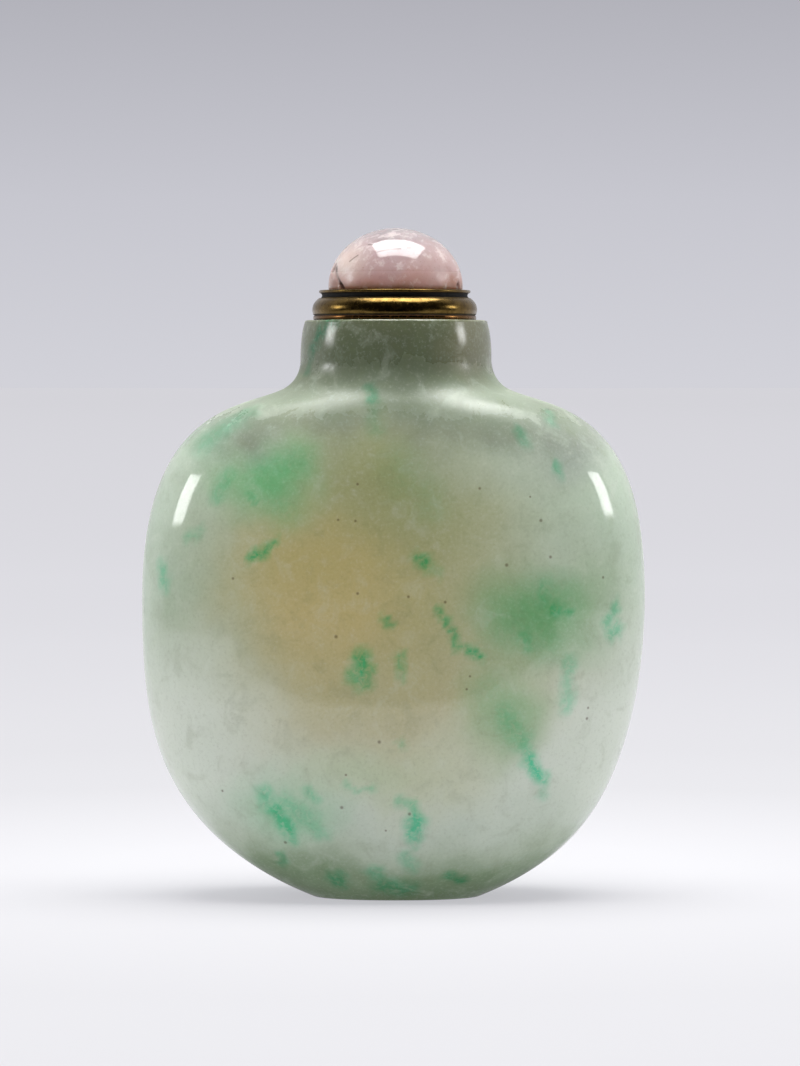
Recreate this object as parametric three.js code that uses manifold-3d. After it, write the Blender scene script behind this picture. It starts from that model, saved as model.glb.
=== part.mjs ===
// A flattened snuff bottle carved from pale green jadeite, with its lift-off stopper: a turned metal
// collar that carries a domed stone. Millimetres, +Z up, origin on the ground under the bottle's middle.
// The two broad faces look along -Y and +Y.
import * as THREE from "three";
import { mergeVertices } from "three/addons/utils/BufferGeometryUtils.js";
import Module from "manifold-3d";

const wasm = await Module();
wasm.setup();

// Heights and round sizes of the bottle.
const BELLY_HEIGHT = 28.5;
const NECK_HEIGHT = 50.85;
const NECK_RADIUS = 9.07;
const LIP_HEIGHT = 54.7;
const LIP_RADIUS = 8.7;
const LIP_EDGE = 0.3;

// The bottle's two outlines, as half sizes: how wide it is from the front and how deep from the side.
// The foot's curve leaves the ground at footRise degrees, and a concave fillet turns into the neck.
const FRONT = {
  foot: 7.95, footRise: 22, footReach: 13.2, belly: 23.9, below: 15, above: 18.1,
  shoulder: 4.4, fillet: 3, filletTurn: 66,
};
const SIDE = {
  foot: 4.8, footRise: 30, footReach: 6.5, belly: 12.4, below: 17, above: 11,
  shoulder: 2.6, fillet: 5, filletTurn: 40,
};

// An oval section grows a little squarer than an ellipse where the bottle is flattened most.
const SQUARENESS = 0.4;

// The carver's middle line drifts sideways by a fraction of a millimetre: [height, drift].
const DRIFT = [[0, 0.28], [14, -0.26], [BELLY_HEIGHT, 0], [NECK_HEIGHT, 0.24]];

// The hollow: one chamber that narrows into a drilled bore.
const BORE_RADIUS = 3.8;
const BORE_FOOT = 46.6;
const CHAMBER_FLOOR = 6.5;
const CHAMBER_FRONT = { belly: 17.5, floor: 14, below: 12, above: 14, throat: 5 };
const CHAMBER_SIDE = { belly: 8.4, floor: 6, below: 12, above: 12, throat: 1.5 };

// The underside is cut back to leave a level oval rim.
const RECESS = { halfWidth: 5.9, halfDepth: 2.85, depth: 0.5 };

// Stopper collar, from the bead at its foot up to the thin plate under the stone.
const COLLAR_OFFSET = 0.12;
const COLLAR_FOOT_RADIUS = 7.62;
const COLLAR_BEAD_RADIUS = 7.76;
const COLLAR_BEAD_HEIGHT = 0.42;
const COLLAR_BAND_RADIUS = 7.86;
const COLLAR_BAND_TOP = 2.08;
const GROOVE_RADIUS = 6.82;
const GROOVE_HEIGHT = 0.24;
const PLATE_RADIUS = 7.18;
const PLATE_HEIGHT = 0.52;

// Domed stone, with a crack and two chips at its edge.
const STONE_OFFSET = 0.2;
const STONE_RADIUS = 6.36;
const STONE_HEIGHT = 5.9;
const STONE_GIRDLE = 0.35;
const STONE_BEVEL = 0.12;
const STONE_CRACK = { top: [-5.5, -2.2, 2], foot: [-4.93, -4.1, 0], width: 0.3, depth: 0.5 };
const STONE_CHIPS = [{ at: [-5.82, -1.65, 2.1], radius: 0.45 }, { at: [6, -2.3, 0.35], radius: 0.45 }];

const BOTTLE_SEGMENTS = 64;
const CHAMBER_SEGMENTS = 40;
const STOPPER_SEGMENTS = 48;

const { degToRad, smoothstep, lerp } = THREE.MathUtils;
const at = (radius, height) => new THREE.Vector2(radius, height);

// Points along curves that meet end to end: [curve, steps] pairs.
function pointsAlong(pieces) {
  const points = [];
  for (const [curve, steps] of pieces) {
    points.push(...curve.getPoints(steps).slice(points.length ? 1 : 0));
  }
  return points;
}

// Half of the bottle's outline, from the foot's edge up to the lip.
function bottleOutline(form) {
  const rise = degToRad(form.footRise);
  const turn = degToRad(form.filletTurn);
  const foot = at(form.foot, 0);
  const belly = at(form.belly, BELLY_HEIGHT);
  const filletCentre = at(NECK_RADIUS + form.fillet, NECK_HEIGHT);
  const shoulder = at(-Math.cos(turn), -Math.sin(turn)).multiplyScalar(form.fillet).add(filletCentre);
  const lowerArc = new THREE.CubicBezierCurve(
    foot,
    at(form.foot + form.footReach * Math.cos(rise), form.footReach * Math.sin(rise)),
    at(form.belly, BELLY_HEIGHT - form.below),
    belly,
  );
  const upperArc = new THREE.CubicBezierCurve(
    belly,
    at(form.belly, BELLY_HEIGHT + form.above),
    at(shoulder.x + form.shoulder * Math.sin(turn), shoulder.y - form.shoulder * Math.cos(turn)),
    shoulder,
  );
  const fillet = new THREE.EllipseCurve(
    filletCentre.x, filletCentre.y, form.fillet, form.fillet, Math.PI + turn, Math.PI, true,
  );
  const neck = new THREE.QuadraticBezierCurve(
    at(NECK_RADIUS, NECK_HEIGHT), at(NECK_RADIUS, LIP_HEIGHT - 1.5), at(LIP_RADIUS, LIP_HEIGHT - LIP_EDGE),
  );
  const lipEdge = new THREE.QuadraticBezierCurve(
    at(LIP_RADIUS, LIP_HEIGHT - LIP_EDGE), at(LIP_RADIUS, LIP_HEIGHT), at(LIP_RADIUS - LIP_EDGE, LIP_HEIGHT),
  );
  return pointsAlong([[lowerArc, 12], [upperArc, 13], [fillet, 5], [neck, 3], [lipEdge, 2]]);
}

// Half of the hollow's outline, from its lowest point up through the bore and out of the lip.
function chamberOutline(form) {
  const floor = at(0, CHAMBER_FLOOR);
  const belly = at(form.belly, BELLY_HEIGHT);
  const throat = at(BORE_RADIUS, BORE_FOOT);
  const mouth = at(BORE_RADIUS, LIP_HEIGHT + 1);
  const lowerArc = new THREE.CubicBezierCurve(
    floor, at(form.floor, CHAMBER_FLOOR), at(form.belly, BELLY_HEIGHT - form.below), belly,
  );
  const upperArc = new THREE.CubicBezierCurve(
    belly, at(form.belly, BELLY_HEIGHT + form.above), at(BORE_RADIUS + form.throat, BORE_FOOT - 1), throat,
  );
  return pointsAlong([[lowerArc, 8], [upperArc, 9], [new THREE.LineCurve(throat, mouth), 1]]);
}

// The half size of an outline at a height, between its two nearest points.
function halfSizeAt(outline, height) {
  const above = outline.findIndex((point) => point.y >= height - 1e-6);
  if (above <= 0) return outline[above < 0 ? outline.length - 1 : 0].x;
  const [low, high] = [outline[above - 1], outline[above]];
  return lerp(low.x, high.x, (height - low.y) / (high.y - low.y));
}

function driftAt(height) {
  let drift = DRIFT[0][1];
  for (let i = 1; i < DRIFT.length; i++) {
    const [[low, before], [high, after]] = [DRIFT[i - 1], DRIFT[i]];
    drift += (after - before) * smoothstep(height, low, high);
  }
  return drift;
}

// A round body turned about +Z from a profile of (radius, height) points.
function turned(profile, segments) {
  return new THREE.LatheGeometry(profile, segments).rotateX(Math.PI / 2);
}

// Makes a turned body oval: its depth follows the side outline where its width follows the front one.
function flattened(geometry, front, side) {
  const position = geometry.getAttribute("position");
  for (let i = 0; i < position.count; i++) {
    const [x, y, z] = [position.getX(i), position.getY(i), position.getZ(i)];
    const radius = Math.hypot(x, y);
    let [width, depth] = [0, 0];
    if (radius > 1e-6) {
      const flatness = halfSizeAt(side, z) / halfSizeAt(front, z);
      const power = 2 / (2 + SQUARENESS * Math.max(0, 1 - flatness));
      width = Math.sign(x) * radius * Math.abs(x / radius) ** power;
      depth = Math.sign(y) * radius * Math.abs(y / radius) ** power * flatness;
    }
    position.setXYZ(i, width + driftAt(z), depth, z);
  }
  return geometry;
}

function solid(geometry) {
  const bare = geometry.clone();
  bare.deleteAttribute("normal");
  bare.deleteAttribute("uv");
  const merged = mergeVertices(bare, 1e-4);
  return new wasm.Manifold(new wasm.Mesh({
    numProp: 3,
    vertProperties: new Float32Array(merged.getAttribute("position").array),
    triVerts: new Uint32Array(merged.index.array),
  }));
}

function geometryOf(body) {
  const { vertProperties, triVerts } = body.getMesh();
  const geometry = new THREE.BufferGeometry();
  geometry.setAttribute("position", new THREE.BufferAttribute(vertProperties, 3));
  geometry.setIndex(new THREE.BufferAttribute(triVerts, 1));
  geometry.computeVertexNormals();
  return geometry;
}

function named(name, geometry, material) {
  const mesh = new THREE.Mesh(geometry, material);
  mesh.name = name;
  return mesh;
}

// The level rim of the foot stands round this shallow, slightly domed cut.
function footRecess() {
  const { halfWidth, halfDepth, depth } = RECESS;
  const roof = new THREE.QuadraticBezierCurve(at(halfWidth, 0), at(halfWidth * 0.8, depth), at(0, depth));
  const profile = [at(0, -1), at(halfWidth, -1), ...roof.getPoints(5)];
  return turned(profile, CHAMBER_SEGMENTS).scale(1, halfDepth / halfWidth, 1).translate(DRIFT[0][1], 0, 0);
}

function bottleGeometry() {
  const [front, side] = [bottleOutline(FRONT), bottleOutline(SIDE)];
  const [chamberFront, chamberSide] = [chamberOutline(CHAMBER_FRONT), chamberOutline(CHAMBER_SIDE)];
  const profile = [at(0, 0), ...front, at(0, LIP_HEIGHT)];
  const outer = flattened(turned(profile, BOTTLE_SEGMENTS), front, side);
  const hollowProfile = [...chamberFront, at(0, LIP_HEIGHT + 1)];
  const hollow = flattened(turned(hollowProfile, CHAMBER_SEGMENTS), chamberFront, chamberSide);
  return geometryOf(solid(outer).subtract(solid(hollow)).subtract(solid(footRecess())));
}

// The collar's half section, with heights counted from the lip it rests on.
function collarGeometry() {
  const bandFoot = COLLAR_BEAD_HEIGHT + 0.1;
  const plateFoot = COLLAR_BAND_TOP + GROOVE_HEIGHT;
  const bead = new THREE.QuadraticBezierCurve(
    at(COLLAR_FOOT_RADIUS, 0), at(COLLAR_BEAD_RADIUS, 0.12), at(COLLAR_BEAD_RADIUS, COLLAR_BEAD_HEIGHT - 0.08),
  );
  const band = new THREE.CubicBezierCurve(
    at(COLLAR_BAND_RADIUS - 0.06, bandFoot),
    at(COLLAR_BAND_RADIUS + 0.06, bandFoot + 0.6),
    at(COLLAR_BAND_RADIUS - 0.05, COLLAR_BAND_TOP - 0.35),
    at(PLATE_RADIUS, COLLAR_BAND_TOP),
  );
  const profile = [
    at(0, 0),
    ...bead.getPoints(2),
    at(COLLAR_BEAD_RADIUS - 0.14, COLLAR_BEAD_HEIGHT),
    ...band.getPoints(7),
    at(GROOVE_RADIUS, COLLAR_BAND_TOP + 0.04),
    at(GROOVE_RADIUS, plateFoot),
    at(PLATE_RADIUS, plateFoot + 0.06),
    at(PLATE_RADIUS, plateFoot + PLATE_HEIGHT * 0.55),
    at(PLATE_RADIUS - 0.35, plateFoot + PLATE_HEIGHT),
    at(0, plateFoot + PLATE_HEIGHT),
  ];
  return turned(profile, STOPPER_SEGMENTS);
}

// A straight slot between two points near the stone's surface, cut square to that surface.
function crackCutter({ top, foot, width, depth }) {
  const [high, low] = [new THREE.Vector3(...top), new THREE.Vector3(...foot)];
  const run = high.clone().sub(low);
  const middle = high.clone().add(low).multiplyScalar(0.5);
  const along = run.clone().normalize();
  const across = new THREE.Vector3(middle.x, middle.y, 0).cross(along).normalize();
  const outward = along.clone().cross(across);
  return new THREE.BoxGeometry(width, 2 * depth, run.length() + 1)
    .applyMatrix4(new THREE.Matrix4().makeBasis(across, outward, along))
    .translate(middle.x, middle.y, middle.z);
}

function stoneGeometry() {
  const dome = new THREE.EllipseCurve(
    0, STONE_GIRDLE, STONE_RADIUS, STONE_HEIGHT - STONE_GIRDLE, 0, Math.PI / 2, false,
  );
  const profile = [
    at(0, 0),
    at(STONE_RADIUS - STONE_BEVEL, 0),
    at(STONE_RADIUS, STONE_BEVEL),
    ...dome.getPoints(11).slice(0, -1),
    at(0, STONE_HEIGHT),
  ];
  let stone = solid(turned(profile, STOPPER_SEGMENTS)).subtract(solid(crackCutter(STONE_CRACK)));
  for (const { at: centre, radius } of STONE_CHIPS) {
    stone = stone.subtract(solid(new THREE.OctahedronGeometry(radius).translate(...centre)));
  }
  return geometryOf(stone);
}

const jadeite = new THREE.MeshStandardMaterial({ color: 0xa7b498, roughness: 0.2, metalness: 0 });
const agedBrass = new THREE.MeshStandardMaterial({ color: 0x8a6d35, roughness: 0.35, metalness: 1 });
const pinkStone = new THREE.MeshStandardMaterial({ color: 0xd8c2c8, roughness: 0.15, metalness: 0 });

const bottle = named("bottle", bottleGeometry(), jadeite);
const collar = named("stopper_collar", collarGeometry(), agedBrass);
const stone = named("stopper_cabochon", stoneGeometry(), pinkStone);

const stopper = new THREE.Group();
stopper.position.set(COLLAR_OFFSET, 0, LIP_HEIGHT);
stopper.add(collar, stone);
stone.position.set(STONE_OFFSET - COLLAR_OFFSET, 0, COLLAR_BAND_TOP + GROOVE_HEIGHT + PLATE_HEIGHT);

const snuffBottle = new THREE.Group();
snuffBottle.add(bottle, stopper);
export default snuffBottle;
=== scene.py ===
import bisect
import math

import bmesh
import bpy
import numpy as np
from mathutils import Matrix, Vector, noise
from mathutils.geometry import interpolate_bezier


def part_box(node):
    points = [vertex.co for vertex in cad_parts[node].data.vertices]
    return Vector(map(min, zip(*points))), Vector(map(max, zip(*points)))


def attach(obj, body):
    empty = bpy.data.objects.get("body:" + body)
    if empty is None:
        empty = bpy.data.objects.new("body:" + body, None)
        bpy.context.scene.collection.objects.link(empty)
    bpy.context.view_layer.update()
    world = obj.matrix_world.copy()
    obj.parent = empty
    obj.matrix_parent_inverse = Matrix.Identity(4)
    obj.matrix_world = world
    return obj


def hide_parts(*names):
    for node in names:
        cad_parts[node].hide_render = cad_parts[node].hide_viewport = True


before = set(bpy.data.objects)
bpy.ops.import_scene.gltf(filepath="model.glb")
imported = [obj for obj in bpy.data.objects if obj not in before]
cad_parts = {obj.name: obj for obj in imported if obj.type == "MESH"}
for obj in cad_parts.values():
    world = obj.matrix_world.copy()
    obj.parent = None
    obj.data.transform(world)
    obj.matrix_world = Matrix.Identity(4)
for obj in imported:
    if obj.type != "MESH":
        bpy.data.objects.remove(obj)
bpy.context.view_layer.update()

MM = 0.001
BOTTLE_LOW, BOTTLE_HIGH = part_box("bottle")
COLLAR_LOW, COLLAR_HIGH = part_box("stopper_collar")
STONE_LOW, STONE_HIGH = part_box("stopper_cabochon")

# ---------------------------------------------------------------- sizes, in millimetres

LIP = BOTTLE_HIGH.z / MM
BELLY_HEIGHT = 28.5
NECK_HEIGHT = 50.85
NECK_RADIUS = 9.07
LIP_RADIUS = 8.7
LIP_EDGE = 0.3
BORE_RADIUS = 3.8
BORE_FOOT = 46.6
BORE_EDGE = 0.2
CHAMBER_FLOOR = 6.5
RECESS_WIDTH = 5.9
RECESS_DEPTH = 2.85
RECESS_HEIGHT = 0.5

# The two outlines of the bottle and of its hollow, as half sizes from the front and from the side.
# Rise and turn are angles in degrees: how the outline leaves the foot, and how far the fillet turns.
FRONT = dict(
    foot=7.95, rise=22, reach=13.2, belly=23.9, below=15, above=18.1, shoulder=4.4, fillet=3, turn=66)
SIDE = dict(
    foot=4.8, rise=30, reach=6.5, belly=12.4, below=17, above=11, shoulder=4, fillet=7, turn=29)
HOLLOW_FRONT = dict(belly=17.5, floor=14, below=12, above=14, throat=5)
HOLLOW_SIDE = dict(belly=8.4, floor=6, below=12, above=12, throat=1.5)
SQUARENESS = 0.4
BOTTLE_SEGMENTS = 360
COLLAR_SEGMENTS = 160
STONE_SEGMENTS = 360
DOME_STEPS = 72
DRIFT = [(0, 0.28), (14, -0.26), (BELLY_HEIGHT, 0), (NECK_HEIGHT, 0.24)]


def srgb(red, green, blue):
    """A colour given in display values from 0 to 255, made linear."""
    def linear(value):
        value /= 255
        return value / 12.92 if value <= 0.04045 else ((value + 0.055) / 1.055) ** 2.4
    return (linear(red), linear(green), linear(blue), 1.0)


# ---------------------------------------------------------------- outlines

def arc(start, first_handle, second_handle, end, steps):
    """A smooth stretch between two points, steered by two handles."""
    return [Vector(p) for p in interpolate_bezier(
        Vector(start), Vector(first_handle), Vector(second_handle), Vector(end), steps + 1)]


def joined(*runs):
    """Runs of points that meet end to end, without the doubled points."""
    points = list(runs[0])
    for run in runs[1:]:
        points += run[1:]
    return points


def bottle_outline(foot, rise, reach, belly, below, above, shoulder, fillet, turn):
    """Half of the bottle's outline, from the foot's edge up to the mouth's edge."""
    rise, turn = math.radians(rise), math.radians(turn)
    centre = Vector((NECK_RADIUS + fillet, NECK_HEIGHT))
    top = centre - fillet * Vector((math.cos(turn), math.sin(turn)))
    lower = arc(
        (foot, 0), (foot + reach * math.cos(rise), reach * math.sin(rise)),
        (belly, BELLY_HEIGHT - below), (belly, BELLY_HEIGHT), 84)
    upper = arc(
        (belly, BELLY_HEIGHT), (belly, BELLY_HEIGHT + above),
        top + shoulder * Vector((math.sin(turn), -math.cos(turn))), top, 72)
    angles = [math.pi + turn * (1 - i / 14) for i in range(15)]
    hollow = [centre + fillet * Vector((math.cos(a), math.sin(a))) for a in angles]
    neck = arc(
        (NECK_RADIUS, NECK_HEIGHT), (NECK_RADIUS, LIP - 2.4),
        (NECK_RADIUS - 0.1, LIP - 1.2), (LIP_RADIUS, LIP - LIP_EDGE), 12)
    edge = arc(
        (LIP_RADIUS, LIP - LIP_EDGE), (LIP_RADIUS - 0.02, LIP - 0.1),
        (LIP_RADIUS - 0.1, LIP), (LIP_RADIUS - LIP_EDGE, LIP), 5)
    return joined(lower, upper, hollow, neck, edge)


def hollow_outline(belly, floor, below, above, throat):
    """Half of the hollow's outline, from its lowest point up through the bore to the mouth."""
    lower = arc(
        (0, CHAMBER_FLOOR), (floor, CHAMBER_FLOOR),
        (belly, BELLY_HEIGHT - below), (belly, BELLY_HEIGHT), 20)
    upper = arc(
        (belly, BELLY_HEIGHT), (belly, BELLY_HEIGHT + above),
        (BORE_RADIUS + throat, BORE_FOOT - 1), (BORE_RADIUS, BORE_FOOT), 24)
    bore = [Vector((BORE_RADIUS, BORE_FOOT)), Vector((BORE_RADIUS, LIP - BORE_EDGE))]
    mouth = [bore[1], Vector((BORE_RADIUS + BORE_EDGE, LIP))]
    return joined(lower, upper, bore, mouth)


def half_size_at(outline, height):
    """The half size of an outline at a height, between its two nearest points."""
    heights = [p.y for p in outline]
    i = bisect.bisect_left(heights, height - 1e-6)
    if i == 0 or i == len(outline):
        return outline[min(i, len(outline) - 1)].x
    low, high = outline[i - 1], outline[i]
    return low.x + (high.x - low.x) * (height - low.y) / (high.y - low.y)


def smoothstep(value, low, high):
    t = min(1, max(0, (value - low) / (high - low)))
    return t * t * (3 - 2 * t)


def drift_at(height):
    """How far the carver's middle line has wandered sideways at a height."""
    drift = DRIFT[0][1]
    for (low, before), (high, after) in zip(DRIFT, DRIFT[1:]):
        drift += (after - before) * smoothstep(height, low, high)
    return drift


FRONT_OUTLINE = bottle_outline(**FRONT)
SIDE_OUTLINE = bottle_outline(**SIDE)


def on_face(x, z, side=-1):
    """The point of the bottle's outer face at x across and z up, in millimetres."""
    width, depth = half_size_at(FRONT_OUTLINE, z), half_size_at(SIDE_OUTLINE, z)
    power = 2 + SQUARENESS * max(0, 1 - depth / width)
    across = min(0.9999, abs(x - drift_at(z)) / width)
    return Vector((x, side * depth * (1 - across ** power) ** (1 / power), z))


# ---------------------------------------------------------------- meshes

def turned(outline, segments, drop=0.0):
    """A bmesh turned about +Z from an outline of (radius, height) points."""
    bm = bmesh.new()
    verts = [bm.verts.new((p.x, 0, p.y + drop)) for p in outline]
    edges = [bm.edges.new(pair) for pair in zip(verts, verts[1:])]
    bmesh.ops.spin(
        bm, geom=verts + edges, cent=(0, 0, 0), axis=(0, 0, 1), dvec=(0, 0, 0),
        angle=2 * math.pi, steps=segments, use_merge=True, use_duplicate=False)
    bmesh.ops.remove_doubles(bm, verts=bm.verts, dist=1e-4)
    return bm


def flatten(bm, front, side):
    """Makes a turned body oval: its width follows the front outline and its depth the side one."""
    ratios = {}
    for v in bm.verts:
        radius = math.hypot(v.co.x, v.co.y)
        height = round(v.co.z, 4)
        if radius > 1e-5:
            if height not in ratios:
                ratios[height] = half_size_at(side, height) / half_size_at(front, height)
            flatness = ratios[height]
            power = 2 / (2 + SQUARENESS * max(0, 1 - flatness))
            v.co.x = math.copysign(radius * abs(v.co.x / radius) ** power, v.co.x)
            v.co.y = math.copysign(radius * abs(v.co.y / radius) ** power, v.co.y) * flatness
        v.co.x += drift_at(v.co.z)


def finish_piece(bm, name, node, material):
    """Turns a bmesh in millimetres into a smooth piece in metres that stands for a CAD node."""
    bmesh.ops.scale(bm, vec=(MM, MM, MM), verts=bm.verts)
    bmesh.ops.remove_doubles(bm, verts=bm.verts, dist=1e-8)
    bmesh.ops.recalc_face_normals(bm, faces=bm.faces)
    mesh = bpy.data.meshes.new(name)
    bm.to_mesh(mesh)
    bm.free()
    mesh.shade_smooth()
    mesh.materials.append(material)
    piece = bpy.data.objects.new(name, mesh)
    bpy.context.scene.collection.objects.link(piece)
    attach(piece, "root")
    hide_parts(node)
    return piece


def merged(*parts):
    """Several bmeshes as one, joined where their edge rings meet."""
    whole = bmesh.new()
    for part in parts:
        mesh = bpy.data.meshes.new("part")
        part.to_mesh(mesh)
        part.free()
        whole.from_mesh(mesh)
        bpy.data.meshes.remove(mesh)
    bmesh.ops.remove_doubles(whole, verts=whole.verts, dist=1e-4)
    return whole


def make_bottle(material):
    """The hollow bottle: its underside, outer face and hollow, joined at the foot and at the lip."""
    recess = arc(
        (0, RECESS_HEIGHT), (RECESS_WIDTH * 0.6, RECESS_HEIGHT),
        (RECESS_WIDTH * 0.93, RECESS_HEIGHT * 0.6), (RECESS_WIDTH, 0), 10)
    under = turned(recess, BOTTLE_SEGMENTS)
    bmesh.ops.scale(under, vec=(1, RECESS_DEPTH / RECESS_WIDTH, 1), verts=under.verts)
    bmesh.ops.translate(under, vec=(DRIFT[0][1], 0, 0), verts=under.verts)
    outer = turned(FRONT_OUTLINE, BOTTLE_SEGMENTS)
    flatten(outer, FRONT_OUTLINE, SIDE_OUTLINE)
    hollow_front, hollow_side = hollow_outline(**HOLLOW_FRONT), hollow_outline(**HOLLOW_SIDE)
    hollow = turned(hollow_front, BOTTLE_SEGMENTS)
    flatten(hollow, hollow_front, hollow_side)
    bm = merged(under, outer, hollow)
    for height in (0, LIP):
        rim = [e for e in bm.edges if e.is_boundary and all(abs(v.co.z - height) < 1e-3 for v in e.verts)]
        bmesh.ops.bridge_loops(bm, edges=rim)
    piece = finish_piece(bm, "carved_bottle", "bottle", material)
    paint(piece.data)
    return piece


# The collar, from its underside up: a bead, a nick, a rounded band, a groove and a thin plate.
COLLAR_HEIGHT = (COLLAR_HIGH.z - COLLAR_LOW.z) / MM
PLATE_RADIUS = 7.18
GROOVE_RADIUS = 6.82
BAND_RADIUS = 7.84
BAND_TOP = 2.08
GROOVE_TOP = 2.56
BEAD_RADIUS = 7.62
BEAD_TOP = 0.42
COLLAR_WEAR = 0.018
COLLAR_SCUFFS = 0.008


def make_collar(material):
    """The turned ring, a little worn all round."""
    centre = (COLLAR_LOW + COLLAR_HIGH) / 2 / MM
    bead = arc(
        (BEAD_RADIUS, 0), (BEAD_RADIUS + 0.1, 0.04),
        (BEAD_RADIUS + 0.16, 0.2), (BEAD_RADIUS + 0.08, BEAD_TOP - 0.02), 8)
    nick = [
        bead[-1], Vector((BEAD_RADIUS - 0.02, BEAD_TOP + 0.03)),
        Vector((BAND_RADIUS - 0.1, BEAD_TOP + 0.12))]
    band = arc(
        (BAND_RADIUS - 0.1, BEAD_TOP + 0.12), (BAND_RADIUS + 0.08, BEAD_TOP + 0.6),
        (BAND_RADIUS - 0.02, BAND_TOP - 0.4), (PLATE_RADIUS, BAND_TOP), 22)
    groove = arc(
        (PLATE_RADIUS, BAND_TOP), (GROOVE_RADIUS, BAND_TOP),
        (GROOVE_RADIUS, GROOVE_TOP), (PLATE_RADIUS - 0.04, GROOVE_TOP + 0.02), 8)
    plate = arc(
        (PLATE_RADIUS - 0.04, GROOVE_TOP + 0.02), (PLATE_RADIUS + 0.05, GROOVE_TOP + 0.1),
        (PLATE_RADIUS + 0.03, COLLAR_HEIGHT), (PLATE_RADIUS - 0.12, COLLAR_HEIGHT), 10)
    underside = [Vector((0, 0)), Vector((BEAD_RADIUS, 0))]
    top = [plate[-1], Vector((0, COLLAR_HEIGHT))]
    outline = joined(underside, bead, nick, band, groove, plate, top)
    bm = turned(outline, COLLAR_SEGMENTS)
    for v in bm.verts:
        radius = math.hypot(v.co.x, v.co.y)
        if radius > GROOVE_RADIUS - 0.1 and 0.1 < v.co.z < COLLAR_HEIGHT - 0.05:
            wear = COLLAR_WEAR * noise.noise(v.co * 0.8) + COLLAR_SCUFFS * noise.noise(v.co * 3.1)
            v.co.xy *= (radius + min(wear, 0)) / radius
    bmesh.ops.translate(bm, vec=(centre.x, centre.y, COLLAR_LOW.z / MM), verts=bm.verts)
    return finish_piece(bm, "turned_collar", "stopper_collar", material)


STONE_RADIUS = 6.36
STONE_HEIGHT = (STONE_HIGH.z - STONE_LOW.z) / MM
STONE_GIRDLE = 0.35
STONE_BEVEL = 0.12

# Damage to the stone, from the middle of its base: a crack down to the edge, two chips and fine lines
# across the dome's front, as (from across, up, to across, up).
CRACK_START, CRACK_END = Vector((-5.5, -2.2, 2.0)), Vector((-4.93, -4.1, 0.0))
CRACK_WIDTH, CRACK_DEPTH = 0.28, 0.45
CHIPS = [Vector((-5.82, -1.65, 2.1)), Vector((6.0, -2.3, 0.35))]
CHIP_RADIUS, CHIP_DEPTH = 0.55, 0.3
DAMAGE_INSIDE = 5
HAIRLINES = [
    (-2.55, 4.2, -2.12, 4.2), (-1.68, 3.5, 0.47, 3.8), (1.12, 3.9, 1.45, 3.9), (-4.3, 2.65, -3.55, 3.2),
]


def on_dome(x, z):
    """The point of the stone's front at x across and z up from the middle of its base."""
    level = (z - STONE_GIRDLE) / (STONE_HEIGHT - STONE_GIRDLE)
    return Vector((x, -math.sqrt(STONE_RADIUS ** 2 * (1 - level ** 2) - x ** 2), z))


def damage(bm):
    """Presses the crack and the chips into the stone's side."""
    run = CRACK_END - CRACK_START
    for v in bm.verts:
        radius = math.hypot(v.co.x, v.co.y)
        if radius < DAMAGE_INSIDE:
            continue
        along = min(1, max(0, (v.co - CRACK_START).dot(run) / run.length_squared))
        apart = (v.co - CRACK_START - along * run).length
        push = CRACK_DEPTH * smoothstep(-apart, -CRACK_WIDTH, 0)
        for chip in CHIPS:
            push = max(push, CHIP_DEPTH * smoothstep(-(v.co - chip).length, -CHIP_RADIUS, 0))
        v.co.xy *= (radius - push) / radius


def make_stone(material):
    """The domed stone on its short girdle."""
    centre = (STONE_LOW + STONE_HIGH) / 2 / MM
    rise = STONE_HEIGHT - STONE_GIRDLE
    dome = [Vector((STONE_RADIUS * math.cos(a), STONE_GIRDLE + rise * math.sin(a)))
            for a in (math.pi / 2 * i / DOME_STEPS for i in range(DOME_STEPS))]
    underside = [Vector((0, 0)), Vector((STONE_RADIUS - STONE_BEVEL, 0))]
    girdle = [underside[-1], Vector((STONE_RADIUS, STONE_BEVEL)), dome[0]]
    outline = joined(underside, girdle, dome, [dome[-1], Vector((0, STONE_HEIGHT))])
    bm = turned(outline, STONE_SEGMENTS)
    damage(bm)
    bmesh.ops.translate(bm, vec=(centre.x, centre.y, STONE_LOW.z / MM), verts=bm.verts)
    return finish_piece(bm, "domed_stone", "stopper_cabochon", material)


# ---------------------------------------------------------------- shader helpers

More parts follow.
